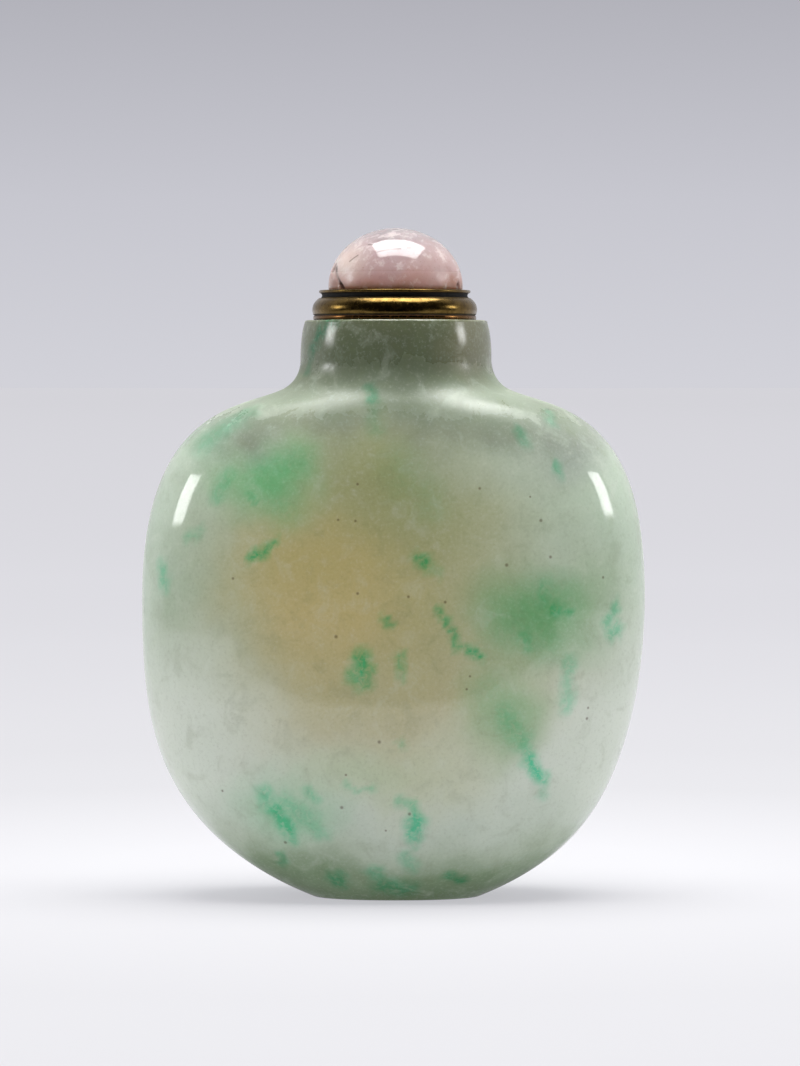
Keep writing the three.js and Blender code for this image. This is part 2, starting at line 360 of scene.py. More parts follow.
class Tree:
    """Short hand for adding and joining shader nodes."""

    def __init__(self, tree):
        self.tree = tree

    def node(self, kind, inputs=None, **settings):
        made = self.tree.nodes.new(kind)
        for key, value in settings.items():
            setattr(made, key, value)
        for key, value in (inputs or {}).items():
            self.put(made.inputs[key], value)
        return made

    def put(self, socket, value):
        if isinstance(value, bpy.types.NodeSocket):
            self.tree.links.new(value, socket)
        else:
            socket.default_value = value

    def math(self, operation, a, b=0.0, c=0.0):
        made = self.node("ShaderNodeMath", operation=operation)
        for socket, value in zip(made.inputs, (a, b, c)):
            self.put(socket, value)
        return made.outputs[0]

    def vector(self, operation, a, b=(0, 0, 0), scale=1.0):
        made = self.node("ShaderNodeVectorMath", operation=operation)
        self.put(made.inputs[0], a)
        self.put(made.inputs[1], b)
        if operation == "SCALE":
            self.put(made.inputs["Scale"], scale)
        return made.outputs["Value" if operation in ("LENGTH", "DOT_PRODUCT", "DISTANCE") else "Vector"]

    def smooth(self, value, low, high, to_low=0.0, to_high=1.0):
        made = self.node("ShaderNodeMapRange", interpolation_type="SMOOTHSTEP", clamp=False)
        names = ("Value", "From Min", "From Max", "To Min", "To Max")
        for name, given in zip(names, (value, low, high, to_low, to_high)):
            self.put(made.inputs[name], given)
        return made.outputs["Result"]

    def mix(self, factor, a, b, blend="MIX"):
        made = self.node("ShaderNodeMix", data_type="RGBA", blend_type=blend)
        self.put(made.inputs[0], factor)
        self.put(made.inputs[6], a)
        self.put(made.inputs[7], b)
        return made.outputs[2]

    def noise(self, vector, scale, detail=2.0, roughness=0.5, distortion=0.0):
        """Smooth noise from 0 to 1."""
        return self.node("ShaderNodeTexNoise", {
            "Vector": vector, "Scale": scale, "Detail": detail,
            "Roughness": roughness, "Distortion": distortion}).outputs[0]

    def part(self, vector, axis):
        """One coordinate of a vector."""
        return self.node("ShaderNodeSeparateXYZ", {"Vector": vector}).outputs[axis]

    def millimetres(self):
        """The piece's own coordinates, in millimetres."""
        place = self.node("ShaderNodeTexCoord").outputs["Object"]
        return self.node("ShaderNodeMapping", {"Vector": place, "Scale": (1 / MM, 1 / MM, 1 / MM)}).outputs[0]


def new_group(name, inputs, outputs):
    """A shader node group with named sockets: ({name: (kind, default)}, {name: kind})."""
    group = bpy.data.node_groups.new(name, "ShaderNodeTree")
    for key, (kind, default) in inputs.items():
        socket = group.interface.new_socket(key, in_out="INPUT", socket_type=kind)
        if default is not None:
            socket.default_value = default
    for key, kind in outputs.items():
        group.interface.new_socket(key, in_out="OUTPUT", socket_type=kind)
    tree = Tree(group)
    return group, tree, tree.node("NodeGroupInput").outputs, tree.node("NodeGroupOutput").inputs


def ramp(tree, factor, stops):
    """A run of colours along a factor from 0 to 1, with stops given as (position, colour)."""
    made = tree.node("ShaderNodeValToRGB", {"Fac": factor})
    elements = made.color_ramp.elements
    while len(elements) < len(stops):
        elements.new(0.5)
    for element, (position, colour) in zip(elements, stops):
        element.position = position
        element.color = colour
    return made.outputs["Color"]


FLOAT, VECTOR = "NodeSocketFloat", "NodeSocketVector"


def vein_group():
    """How strongly a line between two points colours the stone: 1 on it, 0 beyond its radius."""
    group, tree, given, out = new_group(
        "vein",
        {"Place": (VECTOR, None), "Start": (VECTOR, None), "End": (VECTOR, None), "Radius": (FLOAT, 1.0),
         "Strength": (FLOAT, 1.0)},
        {"Mask": FLOAT})
    run = tree.vector("SUBTRACT", given["End"], given["Start"])
    offset = tree.vector("SUBTRACT", given["Place"], given["Start"])
    length_squared = tree.vector("DOT_PRODUCT", run, run)
    along = tree.math("DIVIDE", tree.vector("DOT_PRODUCT", offset, run), length_squared)
    along = tree.math("MINIMUM", tree.math("MAXIMUM", along, 0.0), 1.0)
    nearest = tree.vector("SCALE", run, scale=along)
    distance = tree.vector("LENGTH", tree.vector("SUBTRACT", offset, nearest))
    mask = tree.smooth(tree.math("DIVIDE", distance, given["Radius"]), 1.0, 0.0)
    tree.put(out["Mask"], tree.math("MULTIPLY", mask, given["Strength"]))
    return group


def patch_group():
    """A soft oval patch: 1 at its middle, 0 at its edge."""
    group, tree, given, out = new_group(
        "patch",
        {"Place": (VECTOR, None), "Middle": (VECTOR, None), "Size": (VECTOR, None),
         "Strength": (FLOAT, 1.0)},
        {"Mask": FLOAT})
    offset = tree.vector("SUBTRACT", given["Place"], given["Middle"])
    distance = tree.vector("LENGTH", tree.vector("DIVIDE", offset, given["Size"]))
    mask = tree.smooth(distance, 1.0, 0.0)
    tree.put(out["Mask"], tree.math("MULTIPLY", mask, given["Strength"]))
    return group


def polish_group():
    """The relief that a hand polish leaves: a faint long waviness and a fine grain."""
    group, tree, given, out = new_group(
        "hand_polish",
        {"Place": (VECTOR, None), "Waviness": (FLOAT, 1.0), "Grain": (FLOAT, 1.0)},
        {"Height": FLOAT})
    wave = tree.noise(given["Place"], 0.22, 1.0)
    ripple = tree.noise(given["Place"], 1.1, 1.0)
    grain = tree.noise(given["Place"], 5.0, 2.0, 0.6)
    waves = tree.math("ADD", wave, tree.math("MULTIPLY", ripple, 0.1))
    waves = tree.math("MULTIPLY", waves, given["Waviness"])
    tree.put(out["Height"], tree.math("ADD", waves, tree.math("MULTIPLY", grain, given["Grain"])))
    return group


def new_material(name):
    """A new material with its tree, its shader and the place on the piece in millimetres."""
    material = bpy.data.materials.new(name)
    material.use_nodes = True
    tree = Tree(material.node_tree)
    shader = material.node_tree.nodes["Principled BSDF"]
    return material, tree, shader, tree.millimetres()


def add_relief(tree, shader, height, depth):
    """Bumps a material by a height, which at 1 stands for a depth in millimetres."""
    bump = tree.node("ShaderNodeBump", {"Strength": 1.0, "Distance": depth * MM, "Height": height})
    tree.put(shader.inputs["Normal"], bump.outputs[0])


def let_light_in(shader, index, scale, radius):
    """Makes a material see-through in depth: light spreads in it over a scale in millimetres."""
    shader.inputs["IOR"].default_value = index
    shader.inputs["Subsurface Weight"].default_value = 1.0
    shader.inputs["Subsurface Radius"].default_value = radius
    shader.inputs["Subsurface Scale"].default_value = scale * MM


POLISH = polish_group()
POLISH_DEPTH = 0.02
LATHE_DEPTH = 0.012

# ---------------------------------------------------------------- jadeite

# The stone's colour by height, with painted shade: the shoulders, the neck and the foot are painted darker,
# for the light that shines through the hollow body's thin walls but not through the thick neck and foot, and
# for the shade where the foot meets the floor.
GROUND_AND_SHADE = [
    (0.0, srgb(96, 124, 78)), (2.6, srgb(134, 158, 122)), (4.8, srgb(188, 202, 180)),
    (7.0, srgb(206, 217, 201)), (11.0, srgb(221, 229, 215)), (17.5, srgb(223, 230, 217)),
    (23.0, srgb(208, 218, 202)), (28.5, srgb(189, 205, 184)), (37.0, srgb(193, 208, 189)),
    (41.5, srgb(182, 195, 177)), (44.5, srgb(148, 158, 141)), (47.5, srgb(128, 140, 119)),
    (50.0, srgb(104, 114, 90)), (54.7, srgb(98, 104, 80)),
]

# Broad zones of colour: (across, up, half width, half height, depth reached, colour, strength).
# The first ones go through the whole stone. Those that reach in by less than SHALLOW stay near the
# front face: their middles lie at FRONT_DEPTH.
SHALLOW = 20
FRONT_DEPTH = -11
ZONES = [
    (-1.0, 28.0, 25, 22, 60, srgb(190, 184, 134), 1.0),
    (-6.5, 27.5, 13, 11, 60, srgb(212, 195, 142), 0.9),
    (-6.0, 33.5, 11, 8, 60, srgb(196, 182, 122), 0.8),
    (-1.5, 40.0, 12, 7, 60, srgb(164, 166, 116), 0.9),
    (2.0, 36.0, 10, 7, 60, srgb(166, 168, 118), 0.6),
    (2.0, 19.0, 18, 9, 60, srgb(198, 190, 144), 0.75),
    (13.5, 27.5, 9, 7, 16, srgb(136, 182, 132), 0.95),
    (-11.8, 39.5, 8, 6, 16, srgb(138, 194, 140), 0.9),
    (10.5, 17.5, 6, 8, 16, srgb(156, 192, 144), 0.8),
    (-9.5, 8.5, 7, 6, 16, srgb(156, 206, 166), 0.7),
    (3.0, 12.0, 10, 6, 16, srgb(205, 209, 172), 0.6),
    (-3.0, 12.5, 9, 5, 16, srgb(196, 212, 175), 0.6),
    (8.0, 52.0, 6, 5, 16, srgb(132, 125, 100), 0.7),
    (18.0, 43.0, 8, 5, 16, srgb(160, 166, 160), 0.6),
    (11.0, 40.5, 7, 5, 16, srgb(192, 203, 184), 0.5),
    (-20.0, 44.0, 6, 5, 16, srgb(104, 150, 116), 0.6),
]

# Veins on the front face: (from across, up, to across, up, radius, strength). A vein's colour reaches
# out to VEIN_SPREAD radii, and a vein broader than FULL_RADIUS is paler by as much.
VEIN_SPREAD = 1.4
FULL_RADIUS = 1.3
VEINS = [
    (-6.0, 54.4, -6.9, 53.4, 1.0, 0.9), (-6.9, 53.4, -7.7, 51.7, 0.9, 0.8),
    (-7.7, 51.7, -8.2, 49.8, 0.7, 0.6), (-2.1, 48.1, -1.9, 47.3, 0.8, 0.8),
    (-1.9, 47.3, -1.7, 44.4, 1.0, 0.25), (-17.5, 43.2, -13.8, 45.8, 1.8, 0.5),
    (-15.5, 44.5, -14.0, 46.0, 1.2, 0.45), (-12.1, 40.7, -8.6, 41.4, 2.0, 0.45),
    (-12.1, 39.9, -10.0, 37.0, 2.2, 0.4), (-10.0, 40.7, -8.2, 41.1, 1.0, 0.3),
    (-13.4, 38.6, -12.8, 37.6, 0.5, 0.6), (-15.3, 40.2, -16.5, 38.1, 0.9, 0.4),
    (-13.2, 32.6, -12.1, 32.8, 0.6, 1.0), (-12.1, 32.8, -11.7, 33.7, 0.55, 1.0),
    (-11.7, 33.7, -10.7, 34.2, 0.5, 0.9), (-21.7, 31.4, -21.5, 30.0, 1.0, 0.55),
    (-19.2, 34.4, -18.0, 34.9, 0.7, 0.35), (2.2, 32.6, 3.2, 31.9, 0.6, 0.95),
    (3.2, 31.9, 4.3, 31.3, 0.6, 0.3), (10.3, 26.4, 15.4, 28.7, 3.0, 0.5),
    (12.6, 28.7, 14.0, 25.0, 2.4, 0.4), (14.0, 29.6, 14.0, 28.7, 1.2, 0.5),
    (14.9, 27.7, 16.1, 27.4, 0.9, 0.7), (12.1, 25.4, 12.6, 24.5, 0.9, 0.55),
    (20.0, 26.4, 20.8, 27.7, 0.8, 0.6), (20.2, 25.4, 21.1, 25.6, 0.9, 0.6),
    (4.0, 27.9, 5.0, 26.8, 0.45, 0.75), (5.0, 26.8, 5.5, 25.6, 0.5, 0.8),
    (5.5, 25.6, 6.0, 24.4, 0.55, 0.9), (6.9, 24.1, 7.9, 23.4, 0.55, 0.95),
    (-3.0, 23.3, -2.7, 22.0, 1.1, 0.9), (-3.8, 21.7, -2.9, 20.9, 0.9, 0.7),
    (-2.9, 20.9, -2.2, 20.7, 0.6, 0.5), (0.6, 23.5, 0.7, 22.2, 0.65, 0.65),
    (0.7, 22.2, 0.8, 21.3, 0.5, 0.35), (-0.8, 26.8, -0.5, 26.3, 0.55, 0.85),
    (8.9, 20.2, 11.0, 17.1, 2.8, 0.35), (10.3, 18.1, 11.9, 15.6, 1.5, 0.55),
    (11.9, 15.6, 12.8, 13.4, 1.1, 0.6), (12.6, 13.7, 13.7, 12.0, 0.85, 0.95),
    (13.8, 12.0, 14.0, 10.2, 0.7, 0.3), (16.3, 22.7, 16.1, 18.5, 1.0, 0.45),
    (-12.1, 10.5, -11.0, 8.8, 1.1, 0.65), (-11.0, 8.8, -9.7, 7.0, 1.1, 0.95),
    (-9.7, 7.0, -9.4, 6.0, 0.7, 0.6), (-10.0, 9.7, -8.2, 8.3, 1.3, 0.45),
    (-8.2, 8.3, -6.6, 6.7, 1.0, 0.4), (-7.9, 10.8, -7.4, 10.2, 0.8, 0.5),
    (-4.5, 11.6, -3.3, 10.9, 0.4, 0.45), (-3.3, 10.9, -1.7, 11.1, 0.4, 0.45),
    (0.6, 9.9, 1.7, 9.5, 0.7, 0.5), (1.7, 9.5, 2.3, 8.2, 0.7, 0.7), (2.1, 8.2, 1.9, 6.7, 1.05, 0.95),
    (1.9, 6.7, 1.8, 5.6, 0.5, 0.4), (-10.5, 4.5, -10.4, 3.5, 0.7, 0.55),
    (-5.3, 2.3, -5.2, 1.9, 1.2, 0.8), (-1.7, 2.8, -1.2, 1.7, 1.2, 0.55),
    (-0.8, 1.6, 1.1, 1.3, 1.6, 0.85), (5.2, 2.6, 6.4, 2.0, 0.7, 0.8), (1.1, 4.6, 1.7, 3.5, 0.9, 0.4),
    (11.5, 44.4, 12.2, 43.3, 0.7, 0.5), (14.6, 46.0, 14.7, 45.1, 0.8, 0.45),
    (15.1, 41.4, 15.5, 40.1, 0.5, 0.55), (0.6, 41.1, 1.1, 39.8, 2.6, 0.3),
    (2.9, 38.8, 3.4, 37.5, 2.2, 0.25), (0.6, 15.6, 0.9, 15.0, 0.5, 0.4),
]

# Veins on the back face, in the same order.
BACK_VEINS = [
    (8.2, 49.5, 6.5, 53.8, 0.8, 0.6), (-9.0, 41.0, -6.5, 38.5, 1.4, 0.5),
    (-6.5, 38.5, -6.0, 36.0, 0.8, 0.8), (12.0, 38.0, 9.5, 36.5, 1.0, 0.7),
    (9.5, 36.5, 8.5, 34.0, 0.6, 0.9), (2.0, 33.0, 3.8, 31.2, 0.6, 0.9),
    (-14.0, 30.5, -11.5, 28.0, 2.2, 0.5), (-11.5, 28.0, -10.8, 25.5, 1.0, 0.8),
    (17.0, 27.0, 15.5, 23.5, 1.6, 0.5), (5.5, 22.5, 4.6, 20.0, 0.6, 0.85),
    (4.6, 20.0, 5.2, 18.0, 0.9, 0.6), (-2.5, 24.5, -3.0, 22.5, 0.8, 0.7),
    (-7.5, 15.5, -5.0, 12.0, 1.3, 0.6), (-5.0, 12.0, -4.2, 9.5, 0.8, 0.95),
    (11.5, 12.5, 9.0, 9.5, 1.6, 0.55), (9.0, 9.5, 8.2, 7.0, 0.8, 0.8),
    (-12.5, 9.0, -11.0, 7.2, 0.9, 0.6), (0.5, 6.0, 2.0, 4.2, 0.9, 0.6),
    (-3.0, 3.0, -1.0, 2.0, 1.2, 0.7), (19.8, 35.5, 20.6, 32.0, 0.9, 0.5),
]

# Brown specks on the front face: (across, up, radius).
SPECKS = [
    (-14.9, 30.6, 0.16), (13.7, 36.0, 0.2), (14.6, 32.6, 0.18), (10.5, 31.9, 0.2), (19.6, 30.6, 0.16),
    (1.4, 29.0, 0.17), (4.8, 28.5, 0.17), (-5.3, 25.3, 0.2), (-1.3, 15.5, 0.2), (-4.8, 9.3, 0.2),
    (-0.7, 7.1, 0.13), (6.8, 20.4, 0.14), (7.1, 21.6, 0.14), (18.2, 18.4, 0.15), (18.1, 17.4, 0.18),
    (-10.1, 5.8, 0.2), (-4.4, 12.4, 0.14), (1.5, 8.7, 0.19), (-16.0, 10.6, 0.15), (-3.3, 39.4, 0.16),
    (-5.1, 36.1, 0.15), (-3.5, 36.0, 0.15), (-3.3, 29.3, 0.17), (8.0, 39.0, 0.16), (12.7, 38.2, 0.12),
]


def placed(tree, group, **values):
    """One use of a shader node group, with its inputs by name."""
    made = tree.node("ShaderNodeGroup", node_tree=group)
    for key, value in values.items():
        tree.put(made.inputs[key], value)
    return made.outputs[0]


def wandering(tree, place, scale, reach, detail=3.0):
    """A place pushed about by noise, so that what is drawn there gets an uneven edge."""
    push = tree.node("ShaderNodeTexNoise", {
        "Vector": place, "Scale": scale, "Detail": detail, "Roughness": 0.6}).outputs["Color"]
    push = tree.vector("SUBTRACT", push, (0.5, 0.5, 0.5))
    return tree.vector("ADD", place, tree.vector("SCALE", push, scale=reach))


def soft(value):
    """The smooth step from 0 to 1, for an array."""
    value = np.clip(value, 0, 1)
    return value * value * (3 - 2 * value)


def veins_near(places):
    """How strongly the nearest vein colours each place: 1 on its line, fading out beside it."""
    green = np.zeros(len(places))
    for marks, side in ((VEINS, -1), (BACK_VEINS, 1)):
        for x0, z0, x1, z1, radius, strength in marks:
            start, end = np.array(on_face(x0, z0, side)), np.array(on_face(x1, z1, side))
            run = end - start
            along = np.clip((places - start) @ run / (run @ run), 0, 1)
            apart = np.linalg.norm(places - start - along[:, None] * run, axis=1)
            mask = soft(1 - apart / (VEIN_SPREAD * radius))
            green = np.maximum(green, min(1, FULL_RADIUS / radius) * strength * mask)
    return green


# Where each axis reads the smooth noise, far enough apart to be unrelated.
NOISE_PLACES = [Vector((0, 0, 0)), Vector((31.7, 12.3, 47.1)), Vector((-23.9, 41.5, 8.7))]


def swirl(point):
    """Smooth noise along each axis, the same on every run, which noise_vector is not."""
    return Vector([noise.noise(point + offset) for offset in NOISE_PLACES])


def pushed(point, *pushes):
    """A point pushed about by smooth noise, each push given as (reach, scale)."""
    moved = point.copy()
    for reach, scale in pushes:
        moved += reach * swirl(point * scale)
    return moved


def paint(mesh):
    """Stores the stone's broad colour, with the painted shade of its shoulders, neck and foot, and the
    strength of its green veins in the bottle's vertices.
    """
    places = [v.co / MM for v in mesh.vertices]
    broad = np.array([pushed(p, (2.2, 0.16), (0.6, 0.6)) for p in places])
    near = np.array([pushed(p, (0.45, 1.1)) for p in places])
    heights, tints = zip(*GROUND_AND_SHADE)
    colour = np.stack([np.interp(broad[:, 2], heights, channel) for channel in zip(*tints)], axis=1)
    for across, up, half_width, half_height, reach, tint, strength in ZONES:
        middle = np.array((across, FRONT_DEPTH if reach < SHALLOW else 0, up))
        apart = np.linalg.norm((broad - middle) / (half_width, reach, half_height), axis=1)
        colour += (strength * soft(1 - apart))[:, None] * (np.array(tint) - colour)

    # Besides the veins, soft green drifts cloud the back face.
    green = veins_near(near)
    drifts = np.array([noise.noise((x * 0.13, y * 0.13, z * 0.07)) for x, y, z in broad])
    behind = soft((near[:, 1] + 2) / 5)
    green = np.maximum(green, 0.35 * behind * soft((drifts - 0.1) / 0.35))
    # Stored with the stone's own colour: the painted shade of the shoulders, neck and foot.
    ground_and_shade = mesh.attributes.new("ground_and_shade", "FLOAT_COLOR", "POINT")
    ground_and_shade.data.foreach_set("color", colour.astype(np.float32).ravel())
    veins = mesh.attributes.new("green", "FLOAT", "POINT")
    veins.data.foreach_set("value", green.astype(np.float32))


def jadeite_material():
    """Pale green stone, with the colour and painted shade stored in its vertices and the veins broken up by
    finer noise.
    """
    material, tree, shader, place = new_material("jadeite")
    # The stored colour carries painted shade on the shoulders, neck and foot.
    colour = tree.node("ShaderNodeAttribute", attribute_name="ground_and_shade").outputs["Color"]

    # Cloudiness inside the stone: soft pale wisps, darker hollows between them and a fine sugary grain.
    wisps = tree.noise(place, 0.42, 4.0, 0.6, 0.7)
    colour = tree.mix(tree.smooth(wisps, 0.5, 0.74, 0.0, 0.2), colour, srgb(222, 229, 214))
    colour = tree.mix(tree.smooth(wisps, 0.5, 0.28, 0.0, 0.16), colour, srgb(122, 134, 92))
    grains = tree.noise(place, 3.4, 3.0, 0.7)
    colour = tree.mix(tree.smooth(grains, 0.5, 0.75, 0.0, 0.12), colour, srgb(240, 242, 232))
    colour = tree.mix(tree.smooth(grains, 0.5, 0.25, 0.0, 0.14), colour, srgb(112, 112, 74))

    # Green in the veins, thinner and thicker along them, tints the ground that it lies in.
    green = tree.node("ShaderNodeAttribute", attribute_name="green").outputs["Fac"]
    flow = tree.noise(place, 1.7, 3.0, 0.62, 0.5)
    green = tree.math("MULTIPLY", green, tree.smooth(flow, 0.3, 0.6, 0.55, 1.15))
    tinted = tree.mix(1.0, colour, (0.16, 0.84, 0.56, 1.0), "MULTIPLY")
    colour = tree.mix(green, colour, tinted)

    # Small brown specks: soft dots, drawn by how near the closest one is.
    nearest = None
    for across, up, radius in SPECKS:
        apart = tree.math("DIVIDE", tree.vector("DISTANCE", place, on_face(across, up)), radius * 1.25)
        nearest = apart if nearest is None else tree.math("MINIMUM", nearest, apart)
    colour = tree.mix(tree.smooth(nearest, 1.0, 0.2, 0.0, 0.6), colour, srgb(88, 66, 38))
    tree.put(shader.inputs["Base Color"], colour)

    # The tool could not polish the hollow under the neck: it stays rough there.
    height = tree.part(place, "Z")
    uneven = tree.math("ADD", height, tree.math("MULTIPLY", wisps, 6.0))
    begins = tree.smooth(uneven, 45.6, 51.5)
    ends = tree.smooth(uneven, 54.4, 52.4, 0.25, 1.0)
    rough = tree.math("MULTIPLY", begins, ends)
    polish = tree.smooth(grains, 0.3, 0.7, 0.06, 0.1)
    tree.put(shader.inputs["Roughness"], tree.math("ADD", polish, tree.math("MULTIPLY", rough, 0.36)))
    grain = tree.math("ADD", 0.03, tree.math("MULTIPLY", rough, 0.4))
    relief = placed(tree, POLISH, Place=place, Grain=grain)
    add_relief(tree, shader, relief, POLISH_DEPTH)
    let_light_in(shader, 1.66, 0.7, (1.0, 1.0, 1.0))
    return material


# ---------------------------------------------------------------- the stopper's metal and stone

def brass_material():
    """Worn brass, with painted shade: the groove under the plate and the nick are painted near black."""
    material, tree, shader, place = new_material("aged_brass")
    patina = tree.noise(place, 0.7, 4.0, 0.6)
    tarnish = tree.noise(place, 2.6, 4.0, 0.65)
    separate = tree.node("ShaderNodeSeparateXYZ", {"Vector": place})
    up = tree.math("SUBTRACT", separate.outputs["Z"], COLLAR_LOW.z / MM)
    across, depth = separate.outputs["X"], separate.outputs["Y"]
    flat = tree.node("ShaderNodeCombineXYZ", {"X": across, "Y": depth}).outputs[0]
    middle = (COLLAR_LOW + COLLAR_HIGH) / 2 / MM
    radius = tree.vector("LENGTH", tree.vector("SUBTRACT", flat, (middle.x, middle.y, 0)))

    colour = tree.mix(tree.smooth(patina, 0.35, 0.65), srgb(120, 97, 50), srgb(96, 76, 38))
    colour = tree.mix(tree.smooth(tarnish, 0.5, 0.72, 0.0, 0.6), colour, srgb(60, 44, 24))
    colour = tree.mix(tree.smooth(tarnish, 0.42, 0.28, 0.0, 0.35), colour, srgb(160, 134, 82))
    # Painted shade: the groove under the plate and the nick above the bead are painted near black.
    above_band = tree.smooth(up, BAND_TOP - 0.12, BAND_TOP + 0.04)
    under_plate = tree.smooth(up, GROOVE_TOP + 0.12, GROOVE_TOP - 0.02)
    hidden = tree.smooth(radius, PLATE_RADIUS - 0.02, PLATE_RADIUS - 0.22)
    painted_shade = tree.math("MULTIPLY", above_band, under_plate)
    painted_shade = tree.math("MULTIPLY", painted_shade, tree.math("MAXIMUM", hidden, 0.6))
    low = tree.smooth(tree.math("ABSOLUTE", tree.math("SUBTRACT", up, BEAD_TOP + 0.05)), 0.16, 0.02)
    painted_shade = tree.math("MAXIMUM", painted_shade, tree.math("MULTIPLY", low, 0.85))
    colour = tree.mix(painted_shade, colour, srgb(12, 8, 5))
    reddish = tree.smooth(up, BEAD_TOP + 0.02, BEAD_TOP - 0.06, 0.0, 0.5)
    colour = tree.mix(reddish, colour, srgb(112, 66, 40))
    tree.put(shader.inputs["Base Color"], colour)
    polish = tree.smooth(tarnish, 0.3, 0.7, 0.17, 0.3)
    # Where the shade is painted, the brass is also rougher and barely metallic.
    tree.put(shader.inputs["Roughness"], tree.math("ADD", polish, tree.math("MULTIPLY", painted_shade, 0.5)))
    tree.put(shader.inputs["Metallic"], tree.smooth(painted_shade, 0.0, 1.0, 1.0, 0.2))

    # Fine rings left by the lathe, and small dents from wear.
    profile = tree.node("ShaderNodeCombineXYZ", {"X": up, "Y": radius}).outputs[0]
    rings = tree.noise(profile, 9.0, 3.0, 0.7)
    relief = tree.math("ADD", tree.math("MULTIPLY", rings, 0.12), tree.math("MULTIPLY", tarnish, 0.35))
    add_relief(tree, shader, relief, LATHE_DEPTH)
    return material


# Clouds of colour in the stopper's stone, from its middle: (across, up, half size, colour, strength).
# They lie a little in front of the middle, at CLOUD_DEPTH.
CLOUD_DEPTH = -2.5
STONE_CLOUDS = [
    (-4.6, 2.6, 3.6, srgb(208, 191, 181), 0.9), (-0.6, 1.9, 3.4, srgb(170, 140, 146), 0.9),
    (4.0, 2.4, 3.8, srgb(182, 158, 154), 0.8), (2.6, 0.5, 2.4, srgb(175, 134, 127), 0.8),
    (1.0, 5.6, 3.2, srgb(160, 148, 148), 0.7), (-3.4, 0.6, 1.6, srgb(206, 174, 160), 0.6),
    (5.4, 0.5, 1.6, srgb(150, 96, 62), 0.7), (-5.9, 0.5, 1.3, srgb(150, 110, 98), 0.8),
]


def pink_stone_material():
    """Clouded pink stone, duller low down, with its crack, chips and fine lines stained brown."""
    material, tree, shader, place = new_material("pink_stone")
    patch, vein = patch_group(), vein_group()
    base = (STONE_LOW + STONE_HIGH) / 2 / MM
    base.z = STONE_LOW.z / MM
    place = tree.vector("SUBTRACT", place, base)
    drifting = wandering(tree, place, 0.45, 1.6)
    up = tree.math("DIVIDE", tree.part(drifting, "Z"), STONE_HEIGHT)
    # The colour runs darker towards the dome's top: painted shade, which holds back the strong light from
    # above.
    colour = ramp(tree, up, [
        (0.0, srgb(158, 113, 88)), (0.12, srgb(186, 146, 136)), (0.34, srgb(182, 156, 152)),
        (0.62, srgb(168, 150, 150)), (1.0, srgb(138, 130, 132))])
    for across, height, size, tint, strength in STONE_CLOUDS:
        middle, spread = (across, CLOUD_DEPTH, height), (size, size * 1.6, size * 0.8)
        mask = placed(tree, patch, Place=drifting, Middle=middle, Size=spread, Strength=strength)
        colour = tree.mix(mask, colour, tint)
    wisps = tree.noise(wandering(tree, place, 1.0, 1.2), 0.8, 5.0, 0.65)
    colour = tree.mix(tree.smooth(wisps, 0.5, 0.68, 0.0, 0.5), colour, srgb(222, 212, 208))
    colour = tree.mix(tree.smooth(wisps, 0.46, 0.3, 0.0, 0.3), colour, srgb(150, 112, 112))
    dust = tree.noise(place, 4.5, 3.0, 0.7)
    colour = tree.mix(tree.smooth(dust, 0.62, 0.75, 0.0, 0.5), colour, srgb(120, 78, 56))
    crack = placed(
        tree, vein, Place=place, Start=CRACK_START, End=CRACK_END,
        Radius=CRACK_WIDTH * 1.5, Strength=0.95)
    for chip in CHIPS:
        mark = placed(tree, patch, Place=place, Middle=chip, Size=(CHIP_RADIUS * 1.3,) * 3, Strength=0.8)
        crack = tree.math("MAXIMUM", crack, mark)
    for x0, z0, x1, z1 in HAIRLINES:
        start, end = on_dome(x0, z0), on_dome(x1, z1)
        mark = placed(tree, vein, Place=place, Start=start, End=end, Radius=0.16, Strength=0.6)
        crack = tree.math("MAXIMUM", crack, mark)
    colour = tree.mix(crack, colour, srgb(58, 30, 20))
    tree.put(shader.inputs["Base Color"], colour)
    height = tree.part(place, "Z")
    tree.put(shader.inputs["Roughness"], tree.smooth(height, 3.4, 1.2, 0.07, 0.3))
    grain = tree.smooth(height, 3.4, 1.0, 0.03, 0.12)
    relief = placed(tree, POLISH, Place=place, Waviness=0.6, Grain=grain)
    add_relief(tree, shader, relief, POLISH_DEPTH)
    let_light_in(shader, 1.6, 1.2, (1.2, 1.0, 1.1))
    return material


# ---------------------------------------------------------------- camera, stage and light

AIM = Vector((0.62, 0, 34.5)) * MM
EYE = Vector((0.62, -450, 49)) * MM
LENS = 160
SENSOR_WIDTH = 36
LIT_POINT = Vector((0, 0, 35)) * MM


def make_camera():
    """A long lens, a little above the bottle's shoulders."""
    data = bpy.data.cameras.new("camera")
    data.lens = LENS
    data.sensor_width = SENSOR_WIDTH
    data.clip_end = 100
    camera = bpy.data.objects.new("camera", data)
    camera.location = EYE
    camera.rotation_euler = (AIM - EYE).to_track_quat("-Z", "Y").to_euler()
    bpy.context.scene.collection.objects.link(camera)
    bpy.context.scene.camera = camera


def make_softbox(name, azimuth, elevation, distance, width, height, radiance):
    """A lit panel that faces the bottle; azimuth turns from the camera's side towards +X."""
    data = bpy.data.lights.new(name, "AREA")
    data.shape = "RECTANGLE"
    data.size, data.size_y = width * MM, height * MM
    data.energy = radiance * math.pi * data.size * data.size_y
    a, e = math.radians(azimuth), math.radians(elevation)
    towards = Vector((math.sin(a) * math.cos(e), -math.cos(a) * math.cos(e), math.sin(e)))
    lamp = bpy.data.objects.new(name, data)
    lamp.location = LIT_POINT + towards * distance * MM
    lamp.rotation_euler = (-towards).to_track_quat("-Z", "Y").to_euler()
    bpy.context.scene.collection.objects.link(lamp)
    return lamp


